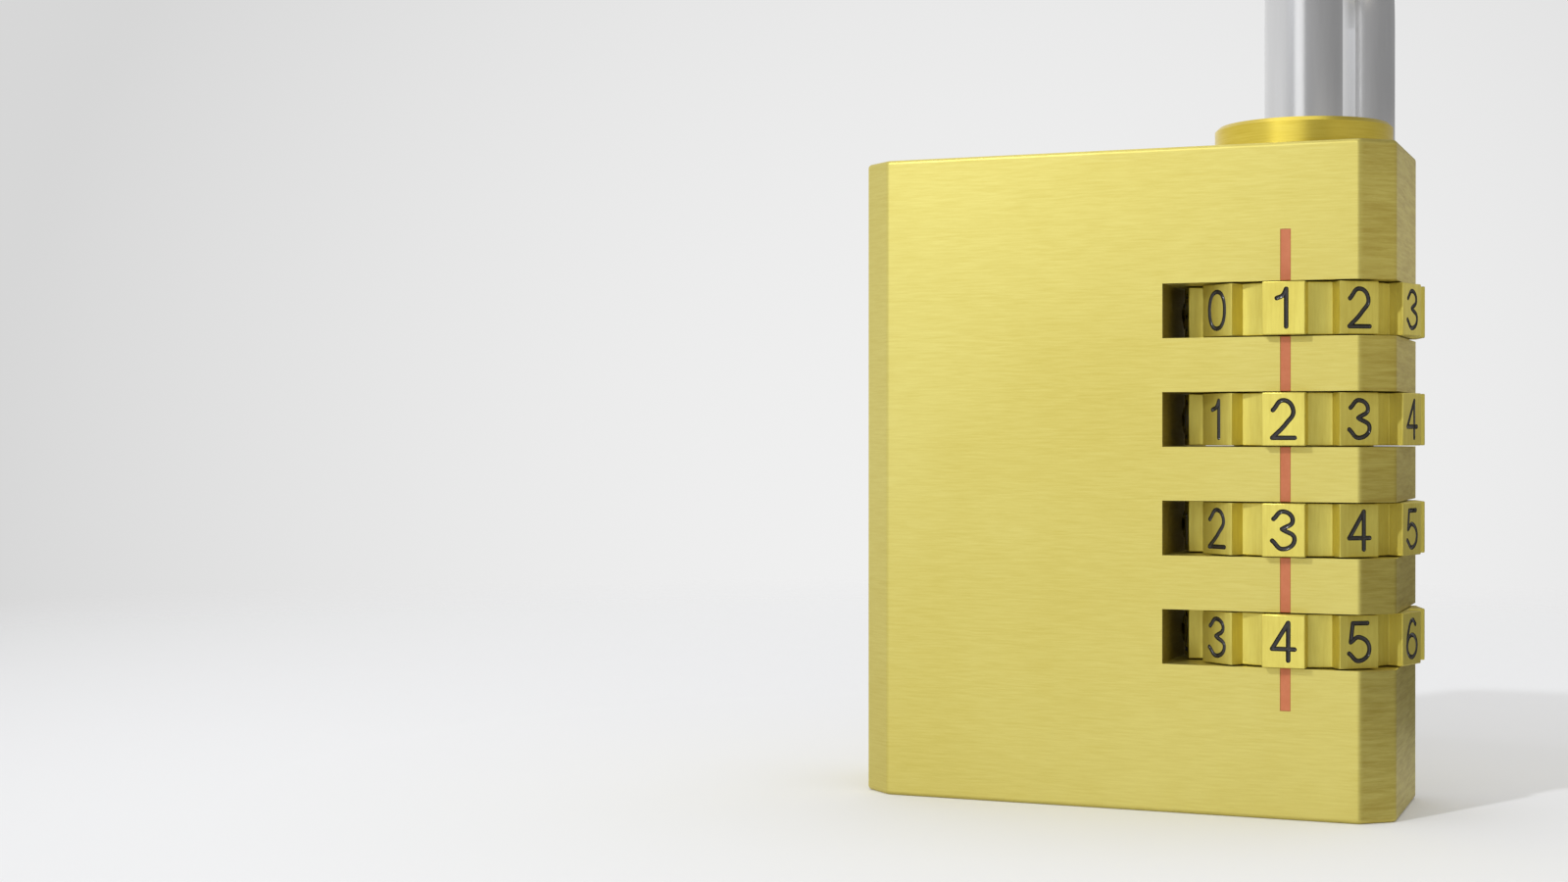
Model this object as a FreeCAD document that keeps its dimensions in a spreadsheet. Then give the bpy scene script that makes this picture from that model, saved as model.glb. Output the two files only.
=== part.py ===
import FreeCAD, Part
import math
import os
import Sketcher

# A brass combination padlock with four number dials and a round steel shackle.
# The origin is the centre of the block's bottom face, +Z is up, the number face looks along -Y, and the
# dials show at the +X end. The shackle stands raised and swung behind the block, with its toe clear of the
# top face.

NUMBERS = 10
BROACHES = 4
NEAR = 0.02

# Every driving dimension, in millimetres or degrees, with what it sizes. One that starts with = follows
# others.
SIZES = [
    ("body_width", 40.0, "block, left to right"),
    ("body_height", 48.6, "block, bottom to top"),
    ("body_depth", 15.6, "block, front to back"),
    ("corner_across", 2.28, "bevel of an upright corner, along the front"),
    ("corner_deep", 1.96, "bevel of an upright corner, along the side"),
    ("corner_round", 0.5, "rounding of each upright edge"),
    ("edge_round", 0.3, "rounding round the top and the bottom face"),
    ("index_width", 0.75, "index line on the number face"),
    ("index_depth", 0.12, "how deep the index line is cut"),
    ("index_above", 5.7, "index line above the top dial's middle"),
    ("index_below", 5.06, "index line below the bottom dial's middle"),
    ("rod_diameter", 5.7, "shackle bar"),
    ("leg_inset", 7.5, "heel leg's centre from the block's right side"),
    ("toe_inset", 5.5, "closed toe leg's centre from the block's left side"),
    ("leg_spacing", "=body_width - leg_inset - toe_inset", "heel leg to toe leg, centre to centre"),
    ("bow_rise", 13.4, "straight legs above the block, shackle raised"),
    ("toe_lift", 0.8, "toe above the block, shackle raised"),
    ("toe_chamfer", 0.8, "chamfer at the toe"),
    ("heel_chamfer", 0.3, "chamfer at the heel's end"),
    ("lift_travel", 6.2, "how far the shackle rises"),
    ("rest_swing", 89.0, "toe's direction from the heel, from +X"),
    ("toe_hole_gap", 0.2, "toe hole round the bar, on radius"),
    ("toe_floor_gap", 0.3, "toe hole's floor under the closed toe"),
    ("mouth_chamfer", 0.4, "chamfer at the toe hole's mouth"),
    ("guide_gap", 0.1, "collar's and sleeves' bore round the bar, on radius"),
    ("dial_pitch", 7.93, "dial to dial"),
    ("top_dial_drop", 11.95, "top dial's middle below the top face"),
    ("foot_room", 12.0, "least height of the bottom dial's middle, for the springs under it"),
    ("dial_thickness", 3.8, "dial, along its axis"),
    ("dial_side_gap", 0.1, "slot's wall from the dial, above and below"),
    ("dial_end_gap", 0.14, "slot's end wall from the dial's corners"),
    ("dial_flat", 8.63, "number facet from the axis"),
    ("facet_half", 1.525, "half a number facet's width"),
    ("grip_floor", 7.64, "floor of the groove between facets, from the axis"),
    ("grip_half", 0.87, "half that floor's width"),
    ("bore_radius", 5.2, "bore in the block and in the dials for the sleeves"),
    ("bore_floor", 1.5, "metal left under the bore"),
    ("run_gap", 0.1, "sleeve in its bore, on radius"),
    ("stack_gap", 0.13, "sleeve to sleeve"),
    ("tooth_bite", 0.5, "drive tooth past the bore"),
    ("tooth_width", 1.4, "drive tooth, across"),
    ("tooth_height", 1.0, "drive tooth, along the axis"),
    ("tooth_gap", 0.1, "drive tooth in its notch or groove, each side"),
    ("dial_relief", 0.2, "dial's plain lower bore past the teeth"),
    ("reset_travel", 3.2, "how far the sleeves are pressed to change the code"),
    ("broach_run", 1.4, "block's grooves below the pressed teeth"),
    ("lug_diameter", 1.8, "lug pin"),
    ("lug_height", 0.9, "lug pin past the bar"),
    ("lug_seat", 1.5, "lug pin past the bar's centre"),
    ("lug_gap", 0.2, "lug pin in its keyway and chamber"),
    ("web_gap", 0.4, "lug pin from a sleeve's web, above or below"),
    ("leg_tail", 1.9, "bar below the lowest lug pin's centre"),
    ("fit_gap", 0.05, "a fixed piece in its seat"),
    ("ring_overlap", 0.35, "push ring over the sleeve's rim"),
    ("ring_thickness", 0.8, "push ring"),
    ("ring_bite", 0.5, "push ring into the bar"),
    ("ring_slit", 1.8, "opening in the push ring"),
    ("stop_gap", 0.1, "push ring under the collar, shackle raised"),
    ("press_gap", 0.2, "push ring over the sleeves, shackle closed"),
    ("collar_radius", 6.5, "collar's flange"),
    ("collar_height", 1.97, "flange above the block"),
    ("collar_bevel", 0.3, "bevel on the flange's rim"),
    ("collar_lead", 0.25, "bevel at the mouth of the collar's bore"),
    ("collar_clear", 0.95, "collar's lower end above the top sleeve"),
    ("dowel_diameter", 1.5, "collar pin"),
    ("dowel_drop", 3.6, "collar pin below the top face"),
    ("ball_diameter", 2.0, "click ball"),
    ("ball_clear", 0.04, "click ball drawn back from the dial's corners"),
    ("ball_hole_gap", 0.05, "click ball in its hole, on radius"),
    ("ball_hole_depth", 6.3, "ball hole, from the slot's end wall"),
    ("click_wire", 0.25, "click spring's wire"),
    ("click_coil", 0.8, "click spring's coil radius"),
    ("click_turns", 7.0, "click spring's turns"),
    ("washer_thickness", 0.8, "reset washer"),
    ("reset_wire", 0.7, "reset spring's wire"),
    ("reset_coil", 4.6, "reset spring's coil radius"),
    ("reset_turns", 3.0, "reset spring's turns"),
    ("cap_step", 0.05, "thrust cap in from the bar, on radius"),
    ("cap_radius", "=rod_diameter / 2 - cap_step", "thrust cap under the heel leg"),
    ("cap_thickness", 1.0, "thrust cap"),
    ("cap_nose_gap", 0.1, "nose inside the lift spring, on radius"),
    ("cap_nose_height", 0.8, "length of that nose"),
    ("lift_wire", 0.45, "lift spring's wire"),
    ("lift_coil", 2.2, "lift spring's coil radius"),
    ("lift_turns", 3.5, "lift spring's turns"),
    ("spring_gap", 0.05, "spring's ends from what they press on"),
    ("dowel_chamfer", 0.15, "chamfer on the pins' ends"),
    ("overrun", 1.0, "how far a cutter runs past a face"),
]

doc = FreeCAD.newDocument("combination_padlock")
sheet = doc.addObject("Spreadsheet::Sheet", "sizes")
sheet.Label = "sizes"
for row, (alias, value, meaning) in enumerate(SIZES, start=1):
    sheet.set(f"A{row}", meaning)
    sheet.set(f"B{row}", str(value))
    sheet.setAlias(f"B{row}", alias)
doc.recompute()

# A taller block has room for more dials at the same pitch, and a lower one for fewer.
DIALS = 1 + int((sheet.body_height - sheet.top_dial_drop - sheet.foot_room) / sheet.dial_pitch)

# Places and sizes that follow from the driving dimensions, as expressions on the sheet.
TOP = "sizes.body_height"
HALF_WIDTH = "sizes.body_width / 2"
HALF_DEPTH = "sizes.body_depth / 2"
ROD = "sizes.rod_diameter / 2"
HEEL = "(sizes.body_width / 2 - sizes.leg_inset)"
GUIDE = "(sizes.rod_diameter / 2 + sizes.guide_gap)"
DIAL_CORNER = "sqrt(sizes.dial_flat ^ 2 + sizes.facet_half ^ 2)"
SLOT_END = f"({HEEL} - {DIAL_CORNER} - sizes.dial_end_gap)"
SLOT_HALF = "(sizes.dial_thickness / 2 + sizes.dial_side_gap)"
HUB = "(sizes.bore_radius - sizes.run_gap)"
TOOTH_REACH = "(sizes.bore_radius + sizes.tooth_bite)"
TOOTH_TOP = "(sizes.dial_thickness / 2 - sizes.tooth_gap)"
TOOTH_LOW = f"({TOOTH_TOP} - sizes.tooth_height)"
SLEEVE_HALF = "(sizes.dial_pitch - sizes.stack_gap) / 2"
WEB_HALF = "((sizes.lift_travel - sizes.lug_diameter) / 2 - sizes.web_gap)"
LUG_REACH = "(sizes.rod_diameter / 2 + sizes.lug_height)"
CHAMBER = "(sizes.rod_diameter / 2 + sizes.lug_height + sizes.lug_gap)"
RING_RADIUS = f"({CHAMBER} + sizes.ring_overlap)"


def dial_level(index):
    """Height of a dial's middle, counted from the top dial."""
    return f"(sizes.body_height - sizes.top_dial_drop - {index} * sizes.dial_pitch)"


LOWEST = dial_level(DIALS - 1)
SLEEVE_TOP = f"({dial_level(0)} + {SLEEVE_HALF})"
SLEEVE_FOOT = f"({LOWEST} - {SLEEVE_HALF})"
HEEL_END = f"({LOWEST} + sizes.lift_travel / 2 - sizes.leg_tail)"
TOE_END = "(sizes.body_height + sizes.toe_lift)"
RING_LOW = f"({SLEEVE_TOP} + sizes.press_gap + sizes.lift_travel)"
RING_TOP = f"({RING_LOW} + sizes.ring_thickness)"
SHOULDER = f"({RING_TOP} + sizes.stop_gap)"
DOWEL_LEVEL = "(sizes.body_height - sizes.dowel_drop)"
BALL_CENTRE = f"({HEEL} - {DIAL_CORNER} - sizes.ball_clear - sizes.ball_diameter / 2)"
BALL_HOLE_END = f"({SLOT_END} - sizes.ball_hole_depth)"

made = []


def number(owner, expression):
    """The present value of an expression."""
    return float(owner.evalExpression(str(expression)))


def bind(owner, **expressions):
    """Binds properties of an object to expressions on the sheet."""
    for name, expression in expressions.items():
        owner.setExpression(name, str(expression))


def place(piece, x="0", y="0", z="0", turn=None):
    """Binds a piece's place and its turn about +Z."""
    piece.setExpression("Placement.Base.x", x)
    piece.setExpression("Placement.Base.y", y)
    piece.setExpression("Placement.Base.z", z)
    if turn is not None:
        piece.setExpression("Placement.Rotation.Angle", turn)


def new_body(name):
    """A sub-part made of sketches and features."""
    body = doc.addObject("PartDesign::Body", name)
    body.Label = name
    made.append(body)
    return body


def new_sketch(body, role, name, offset=None):
    """A sketch on one of the body's own planes, moved along the plane's normal by offset."""
    sketch = body.newObject("Sketcher::SketchObject", name)
    plane = next(item for item in body.Origin.OriginFeatures if item.Role == role)
    sketch.AttachmentSupport = [(plane, "")]
    sketch.MapMode = "FlatFace"
    if offset is not None:
        sketch.setExpression("AttachmentOffset.Base.z", offset)
    return sketch


def hold(sketch, kind, curve, point, expression):
    """Holds a point of a curve at a DistanceX or a DistanceY from the sketch's origin."""
    value = number(sketch, expression)
    index = sketch.addConstraint(Sketcher.Constraint(kind, -1, 1, curve, point, value))
    sketch.setExpression(f"Constraints[{index}]", expression)


def pin_point(sketch, curve, point, x, y):
    """Holds a point of a curve at x and y from the sketch's origin."""
    hold(sketch, "DistanceX", curve, point, x)
    hold(sketch, "DistanceY", curve, point, y)


def outline(sketch, points):
    """A closed outline of straight lines through points given as pairs of expressions."""
    corners = [FreeCAD.Vector(number(sketch, x), number(sketch, y), 0) for x, y in points]
    count = len(corners)
    lines = []
    for i in range(count):
        segment = Part.LineSegment(corners[i], corners[(i + 1) % count])
        lines.append(sketch.addGeometry(segment, False))
    for i, line in enumerate(lines):
        sketch.addConstraint(Sketcher.Constraint("Coincident", line, 2, lines[(i + 1) % count], 1))
        pin_point(sketch, line, 1, *points[i])


def circle(sketch, radius, x="0", y="0"):
    """A circle whose centre and radius are expressions."""
    centre = FreeCAD.Vector(number(sketch, x), number(sketch, y), 0)
    value = number(sketch, radius)
    curve = sketch.addGeometry(Part.Circle(centre, FreeCAD.Vector(0, 0, 1), value), False)
    index = sketch.addConstraint(Sketcher.Constraint("Radius", curve, value))
    sketch.setExpression(f"Constraints[{index}]", radius)
    pin_point(sketch, curve, 3, x, y)


def spoke(sketch, angle, inner, outer, width, x="0", y="0"):
    """A rectangle that points away from (x, y) at an angle, from the inner to the outer radius."""
    points = []
    for reach, side in ((inner, "-1"), (outer, "-1"), (outer, "1"), (inner, "1")):
        across = f"{side} * ({width}) / 2"
        points.append(
            (
                f"{x} + ({reach}) * cos({angle}) - {across} * sin({angle})",
                f"{y} + ({reach}) * sin({angle}) + {across} * cos({angle})",
            )
        )
    outline(sketch, points)


def feature(body, kind, sketch, name, length=None, through=False, flipped=False, both_ways=False):
    """A pad or a pocket from a sketch."""
    made_feature = body.newObject(f"PartDesign::{kind}", name)
    made_feature.Profile = sketch
    if through:
        made_feature.Type = "ThroughAll"
    else:
        bind(made_feature, Length=length)
    made_feature.Reversed = flipped
    if both_ways:
        made_feature.SideType = "Symmetric"
    return made_feature


def revolve(body, sketch, name, kind="Revolution", axis="V_Axis"):
    """A full turn of a sketch about one of its own axes."""
    turned = body.newObject(f"PartDesign::{kind}", name)
    turned.Profile = sketch
    turned.ReferenceAxis = (sketch, [axis])
    turned.Angle = 360.0
    return turned


def edges_where(shape, test):
    """Names of a shape's edges that pass a test."""
    return [f"Edge{i}" for i, edge in enumerate(shape.Edges, start=1) if test(edge)]


def round_rim(shape, level, radius):
    """Names of the round edges of a radius that lie flat at a level."""
    return edges_where(
        shape,
        lambda edge: abs(edge.BoundBox.ZMin - level) < NEAR
        and abs(edge.BoundBox.ZMax - level) < NEAR
        and abs(edge.BoundBox.XLength - 2 * radius) < NEAR,
    )


def soften(body, kind, base, names, size, name):
    """A fillet or a chamfer on edges of a feature."""
    softened = body.newObject(f"PartDesign::{kind}", name)
    softened.Base = (base, names)
    bind(softened, **{"Radius" if kind == "Fillet" else "Size": size})
    return softened


def turned_piece(name, points, axis="V_Axis"):
    """A piece turned on a lathe, from its half section as pairs of expressions."""
    body = new_body(name)
    section = new_sketch(body, "XZ_Plane", "section")
    outline(section, points)
    revolve(body, section, "turning", axis=axis)
    return body


def dowel(name, start, end, diameter):
    """A pin along +X with chamfered ends."""
    radius = f"({diameter} / 2)"
    rim = f"({radius} - sizes.dowel_chamfer)"
    points = [
        (start, "0"),
        (start, rim),
        (f"{start} + sizes.dowel_chamfer", radius),
        (f"{end} - sizes.dowel_chamfer", radius),
        (end, rim),
        (end, "0"),
    ]
    return turned_piece(name, points, axis="H_Axis")


def coil(name, low, high, radius, wire, turns, x="0", y="0", z="0", along_x=False):
    """A coil spring from low to high along +Z, or along +X, with its wire's section swept along a helix."""
    helix = doc.addObject("Part::Helix", f"{name}_line")
    height = f"({high} - ({low}))"
    bind(helix, Pitch=f"{height} / {turns}", Height=height, Radius=radius)
    section = doc.addObject("Part::Circle", f"{name}_wire")
    bind(section, Radius=f"{wire} / 2")
    if along_x:
        helix.Placement = FreeCAD.Placement(FreeCAD.Vector(), FreeCAD.Rotation(FreeCAD.Vector(0, 1, 0), 90))
        place(helix, low, y, z)
        section.Placement = FreeCAD.Placement(FreeCAD.Vector(), FreeCAD.Rotation(FreeCAD.Vector(1, 0, 0), 90))
        place(section, low, y, f"{z} - {radius}")
    else:
        place(helix, x, y, low)
        section.Placement = FreeCAD.Placement(FreeCAD.Vector(), FreeCAD.Rotation(FreeCAD.Vector(1, 0, 0), 90))
        place(section, f"{x} + {radius}", y, low)
    spring = doc.addObject("Part::Sweep", name)
    spring.Label = name
    spring.Sections = [section]
    spring.Spine = (helix, [])
    spring.Solid = True
    spring.Frenet = True
    made.append(spring)
    return spring


# lock_body: one sawn and milled brass bar. The four dial slots are cut from its right-hand end.
def build_lock_body():
    body = new_body("lock_body")
    plan = new_sketch(body, "XY_Plane", "plan")
    near_x = f"({HALF_WIDTH} - sizes.corner_across)"
    near_y = f"({HALF_DEPTH} - sizes.corner_deep)"
    outline(
        plan,
        [
            (f"-{near_x}", f"-{HALF_DEPTH}"),
            (near_x, f"-{HALF_DEPTH}"),
            (HALF_WIDTH, f"-{near_y}"),
            (HALF_WIDTH, near_y),
            (near_x, HALF_DEPTH),
            (f"-{near_x}", HALF_DEPTH),
            (f"-{HALF_WIDTH}", near_y),
            (f"-{HALF_WIDTH}", f"-{near_y}"),
        ],
    )
    block = feature(body, "Pad", plan, "block", TOP)
    doc.recompute()
    tall = number(block, TOP)
    uprights = edges_where(block.Shape, lambda edge: edge.BoundBox.ZLength > tall / 2)
    rounded = soften(body, "Fillet", block, uprights, "sizes.corner_round", "upright_edges")
    doc.recompute()
    level = edges_where(rounded.Shape, lambda edge: edge.BoundBox.ZLength < tall / 2)
    soften(body, "Fillet", rounded, level, "sizes.edge_round", "level_edges")

    slots = new_sketch(body, "XZ_Plane", "slots")
    slot_run = f"({HALF_WIDTH} + sizes.overrun)"
    for index in range(DIALS):
        low = f"{dial_level(index)} - {SLOT_HALF}"
        high = f"{dial_level(index)} + {SLOT_HALF}"
        outline(slots, [(SLOT_END, low), (slot_run, low), (slot_run, high), (SLOT_END, high)])
    feature(body, "Pocket", slots, "dial_slots", through=True, both_ways=True)

    mouth = new_sketch(body, "XY_Plane", "bore_mouth", TOP)
    circle(mouth, "sizes.bore_radius", HEEL)
    feature(body, "Pocket", mouth, "heel_bore", f"{TOP} - sizes.bore_floor")

    broach = new_sketch(body, "XY_Plane", "broach", TOP)
    for index in range(BROACHES):
        spoke(
            broach,
            index * 360 // BROACHES,
            "sizes.bore_radius - sizes.tooth_bite",
            f"{TOOTH_REACH} + sizes.tooth_gap",
            "sizes.tooth_width + 2 * sizes.tooth_gap",
            HEEL,
        )
    broach_end = f"({LOWEST} + {TOOTH_LOW} - sizes.reset_travel - sizes.broach_run)"
    feature(body, "Pocket", broach, "broached_grooves", f"{TOP} - {broach_end}")

    toe = new_sketch(body, "XY_Plane", "toe_mouth", TOP)
    toe_radius = f"{ROD} + sizes.toe_hole_gap"
    circle(toe, toe_radius, f"{HEEL} - sizes.leg_spacing")
    toe_depth = "sizes.lift_travel - sizes.toe_lift + sizes.toe_floor_gap"
    toe_hole = feature(body, "Pocket", toe, "toe_hole", toe_depth)
    doc.recompute()
    rim = round_rim(toe_hole.Shape, tall, number(toe, toe_radius))
    soften(body, "Chamfer", toe_hole, rim, "sizes.mouth_chamfer", "toe_mouth_bevel")

    ball_mouths = new_sketch(body, "YZ_Plane", "ball_mouths", SLOT_END)
    for index in range(DIALS):
        circle(ball_mouths, "sizes.ball_diameter / 2 + sizes.ball_hole_gap", "0", dial_level(index))
    feature(body, "Pocket", ball_mouths, "ball_holes", "sizes.ball_hole_depth")

    back = new_sketch(body, "XZ_Plane", "dowel_mouth", f"-{HALF_DEPTH}")
    circle(back, "sizes.dowel_diameter / 2 + sizes.fit_gap", HEEL, DOWEL_LEVEL)
    dowel_run = f"{HALF_DEPTH} - sizes.bore_radius + sizes.tooth_bite"
    feature(body, "Pocket", back, "dowel_hole", dowel_run, flipped=True)

    index_line = new_sketch(body, "XZ_Plane", "index_line", HALF_DEPTH)
    left = f"({HEEL} - sizes.index_width / 2)"
    right = f"({HEEL} + sizes.index_width / 2)"
    high = f"({dial_level(0)} + sizes.index_above)"
    low = f"({LOWEST} - sizes.index_below)"
    outline(index_line, [(left, low), (right, low), (right, high), (left, high)])
    feature(body, "Pocket", index_line, "index_groove", "sizes.index_depth")
    return body


# collar: turned brass ring in the bore's mouth. It guides the heel leg, and its shoulder stops the push ring.
def build_collar():
    spigot = "(sizes.bore_radius - sizes.fit_gap)"
    counterbore = f"({RING_RADIUS} + sizes.run_gap)"
    foot = f"({SLEEVE_TOP} + sizes.collar_clear)"
    face = f"({TOP} + sizes.collar_height)"
    body = turned_piece(
        "collar",
        [
            (GUIDE, SHOULDER),
            (GUIDE, f"{face} - sizes.collar_lead"),
            (f"{GUIDE} + sizes.collar_lead", face),
            ("sizes.collar_radius - sizes.collar_bevel", face),
            ("sizes.collar_radius", f"{face} - sizes.collar_bevel"),
            ("sizes.collar_radius", TOP),
            (spigot, TOP),
            (spigot, foot),
            (counterbore, foot),
            (counterbore, SHOULDER),
        ],
    )
    hole = new_sketch(body, "XZ_Plane", "dowel_mouth", f"-{spigot} - sizes.overrun")
    circle(hole, "sizes.dowel_diameter / 2 + sizes.fit_gap", "0", DOWEL_LEVEL)
    feature(body, "Pocket", hole, "dowel_hole", f"{spigot} + sizes.overrun", flipped=True)
    place(body, HEEL)
    return body


# collar_pin: brass dowel driven in from the back, through the block and into the collar's skirt.
def build_collar_pin():
    start = f"({RING_RADIUS} + sizes.run_gap + sizes.fit_gap)"
    pin = dowel("collar_pin", start, HALF_DEPTH, "sizes.dowel_diameter")
    place(pin, HEEL, "0", DOWEL_LEVEL, "90")
    return pin


# shackle: one bent steel bar. Its own frame has the heel leg at the origin and the toe at +X.
def build_shackle():
    body = new_body("shackle")
    bow_foot = f"({TOP} + sizes.bow_rise)"
    line = new_sketch(body, "XZ_Plane", "bar_line")
    radius = number(line, "sizes.leg_spacing / 2")
    foot = number(line, bow_foot)
    vector = FreeCAD.Vector
    heel_low = vector(0, number(line, HEEL_END), 0)
    toe_low = vector(2 * radius, number(line, TOE_END), 0)
    ring = Part.Circle(vector(radius, foot, 0), vector(0, 0, 1), radius)
    heel_leg = line.addGeometry(Part.LineSegment(heel_low, vector(0, foot, 0)), False)
    bow = line.addGeometry(Part.ArcOfCircle(ring, 0.0, math.pi), False)
    toe_leg = line.addGeometry(Part.LineSegment(vector(2 * radius, foot, 0), toe_low), False)
    pin_point(line, heel_leg, 1, "0", HEEL_END)
    pin_point(line, heel_leg, 2, "0", bow_foot)
    line.addConstraint(Sketcher.Constraint("Coincident", heel_leg, 2, bow, 2))
    pin_point(line, bow, 3, "sizes.leg_spacing / 2", bow_foot)
    line.addConstraint(Sketcher.Constraint("Coincident", bow, 1, toe_leg, 1))
    hold(line, "DistanceY", toe_leg, 1, bow_foot)
    pin_point(line, toe_leg, 2, "sizes.leg_spacing", TOE_END)

    bar = new_sketch(body, "XY_Plane", "bar_section", HEEL_END)
    circle(bar, ROD)
    pipe = body.newObject("PartDesign::AdditivePipe", "bar")
    pipe.Profile = bar
    pipe.Spine = (line, [])
    doc.recompute()

    half_bar = number(pipe, ROD)
    toe_rim = round_rim(pipe.Shape, number(pipe, TOE_END), half_bar)
    toe_end = soften(body, "Chamfer", pipe, toe_rim, "sizes.toe_chamfer", "toe_bevel")
    doc.recompute()
    heel_rim = round_rim(toe_end.Shape, number(pipe, HEEL_END), half_bar)
    soften(body, "Chamfer", toe_end, heel_rim, "sizes.heel_chamfer", "heel_bevel")

    lugs = new_sketch(body, "XZ_Plane", "lug_mouths", "sizes.lug_seat + sizes.fit_gap")
    for index in range(DIALS):
        level = f"{dial_level(index)} + sizes.lift_travel / 2"
        circle(lugs, "sizes.lug_diameter / 2 + sizes.fit_gap", "0", level)
    feature(body, "Pocket", lugs, "lug_holes", through=True)

    groove = new_sketch(body, "XZ_Plane", "ring_groove_section")
    root = f"({ROD} - sizes.ring_bite)"
    outer = f"({ROD} + sizes.overrun)"
    low = f"({RING_LOW} - sizes.fit_gap)"
    high = f"({RING_TOP} + sizes.fit_gap)"
    outline(groove, [(root, low), (outer, low), (outer, high), (root, high)])
    revolve(body, groove, "ring_groove", kind="Groove")
    place(body, HEEL, turn="sizes.rest_swing")
    return body


# push_ring: spring-steel snap ring in the heel leg's groove.
def build_push_ring():
    body = new_body("push_ring")
    plan = new_sketch(body, "XY_Plane", "plan")
    circle(plan, RING_RADIUS)
    circle(plan, f"{ROD} - sizes.ring_bite + sizes.fit_gap")
    feature(body, "Pad", plan, "ring", "sizes.ring_thickness")
    slit = new_sketch(body, "XY_Plane", "slit_plan", "sizes.ring_thickness")
    spoke(slit, 180, "0", f"{RING_RADIUS} + sizes.overrun", "sizes.ring_slit")
    feature(body, "Pocket", slit, "slit", through=True)
    place(body, HEEL, "0", RING_LOW, "sizes.rest_swing")
    return body


# lug_pin: steel dowel in the heel leg, square to the plane of the shackle.
def build_lug_pin(index):
    pin = dowel(f"lug_pin_{index + 1}", "-sizes.lug_seat", LUG_REACH, "sizes.lug_diameter")
    place(pin, HEEL, "0", f"{dial_level(index)} + sizes.lift_travel / 2", "sizes.rest_swing + 90")
    return pin


# dial: brass ring with ten number facets, a grip groove between each two, and ten notches inside for the
# sleeve's teeth.
def build_dial(index):
    body = new_body(f"dial_{index + 1}")
    plan = new_sketch(body, "XY_Plane", "plan", "-sizes.dial_thickness / 2")
    points = []
    for step in range(NUMBERS):
        facet = step * 360 // NUMBERS
        groove = facet + 180 // NUMBERS
        for angle, reach, side in (
            (facet, "sizes.dial_flat", "-sizes.facet_half"),
            (facet, "sizes.dial_flat", "sizes.facet_half"),
            (groove, "sizes.grip_floor", "-sizes.grip_half"),
            (groove, "sizes.grip_floor", "sizes.grip_half"),
        ):
            points.append(
                (
                    f"{reach} * sin({angle}) + {side} * cos({angle})",
                    f"-({reach}) * cos({angle}) + {side} * sin({angle})",
                )
            )
    outline(plan, points)
    feature(body, "Pad", plan, "ring", "sizes.dial_thickness")

    bore = new_sketch(body, "XY_Plane", "bore_plan", "sizes.dial_thickness / 2")
    circle(bore, "sizes.bore_radius")
    feature(body, "Pocket", bore, "bore", through=True)

    notch_depth = "(sizes.tooth_height + 2 * sizes.tooth_gap)"
    notches = new_sketch(body, "XY_Plane", "notch_plan", "sizes.dial_thickness / 2")
    for step in range(NUMBERS):
        spoke(
            notches,
            step * 360 // NUMBERS,
            "sizes.bore_radius - sizes.tooth_bite",
            f"{TOOTH_REACH} + sizes.tooth_gap",
            "sizes.tooth_width + 2 * sizes.tooth_gap",
        )
    feature(body, "Pocket", notches, "notches", notch_depth)

    relief = new_sketch(body, "XY_Plane", "relief_plan", f"sizes.dial_thickness / 2 - {notch_depth}")
    circle(relief, f"{TOOTH_REACH} + sizes.dial_relief")
    feature(body, "Pocket", relief, "plain_bore", through=True)
    place(body, HEEL, "0", dial_level(index))
    return body


# sleeve: brass code sleeve. Its web lets a lug pin through only at its keyways, and its two teeth turn it
# with the dial. One keyway faces the closed shackle's lug pins, and the other those of the shackle swung
# back.
def build_sleeve(index):
    body = new_body(f"sleeve_{index + 1}")
    plan = new_sketch(body, "XY_Plane", "hub_plan", f"-{SLEEVE_HALF}")
    circle(plan, HUB)
    feature(body, "Pad", plan, "hub", f"2 * {SLEEVE_HALF}")

    teeth = new_sketch(body, "XY_Plane", "teeth_plan", TOOTH_LOW)
    for angle in (0, 180):
        spoke(teeth, angle, "sizes.bore_radius - sizes.tooth_bite", TOOTH_REACH, "sizes.tooth_width")
    feature(body, "Pad", teeth, "teeth", "sizes.tooth_height")

    upper = new_sketch(body, "XY_Plane", "upper_plan", SLEEVE_HALF)
    circle(upper, CHAMBER)
    feature(body, "Pocket", upper, "upper_chamber", f"{SLEEVE_HALF} - {WEB_HALF}")
    lower = new_sketch(body, "XY_Plane", "lower_plan", f"-{SLEEVE_HALF}")
    circle(lower, CHAMBER)
    feature(body, "Pocket", lower, "lower_chamber", f"{SLEEVE_HALF} - {WEB_HALF}", flipped=True)

    hole = new_sketch(body, "XY_Plane", "hole_plan", SLEEVE_HALF)
    circle(hole, GUIDE)
    feature(body, "Pocket", hole, "leg_hole", through=True)
    for angle, name in ((270, "closed_keyway"), (180, "swung_keyway")):
        keyway = new_sketch(body, "XY_Plane", f"{name}_plan", SLEEVE_HALF)
        spoke(keyway, angle, "0", CHAMBER, "sizes.lug_diameter + 2 * sizes.lug_gap")
        feature(body, "Pocket", keyway, name, through=True)
    place(body, HEEL, "0", dial_level(index))
    return body


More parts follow.
